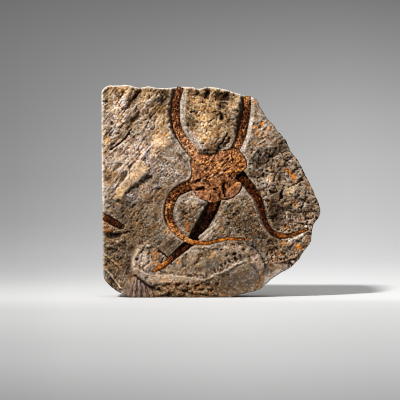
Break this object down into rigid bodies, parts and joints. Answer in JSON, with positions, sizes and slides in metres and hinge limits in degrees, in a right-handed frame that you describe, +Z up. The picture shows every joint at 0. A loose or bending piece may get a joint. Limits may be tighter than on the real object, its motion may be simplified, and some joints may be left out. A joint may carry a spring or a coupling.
{
  "type": "fossil brittle star",
  "caption": "Fossil brittle star with curling arms, lying in prepared channels on the face of a rough siltstone slab that stands upright on its flat lower edge.",
  "frame": {"origin": "on the surface the slab stands on, under the middle of its bounding box", "axes": "+Z up, the face with the fossil looks towards -Y, +X to the right of someone facing it"},
  "size_m": [0.1138, 0.024, 0.1108],
  "materials": {
    "siltstone": "rough broken grey-brown siltstone with tan bedding faces, orange iron stains and chalky rims along the prepared channels",
    "disc_rust": "coarse granular rust-orange limonite, matt",
    "arm_rust": "dark rust-brown limonite with a fine plated texture, tips more orange, matt"
  },
  "bodies": {
    "root": {"matrix_slab": "siltstone", "disc": "disc_rust", "arm_upper_left": "arm_rust", "arm_upper_right": "arm_rust", "arm_left_loop": "arm_rust", "arm_lower": "arm_rust", "arm_right": "arm_rust", "edge_arm_fragment": "arm_rust"}
  },
  "joints": []
}
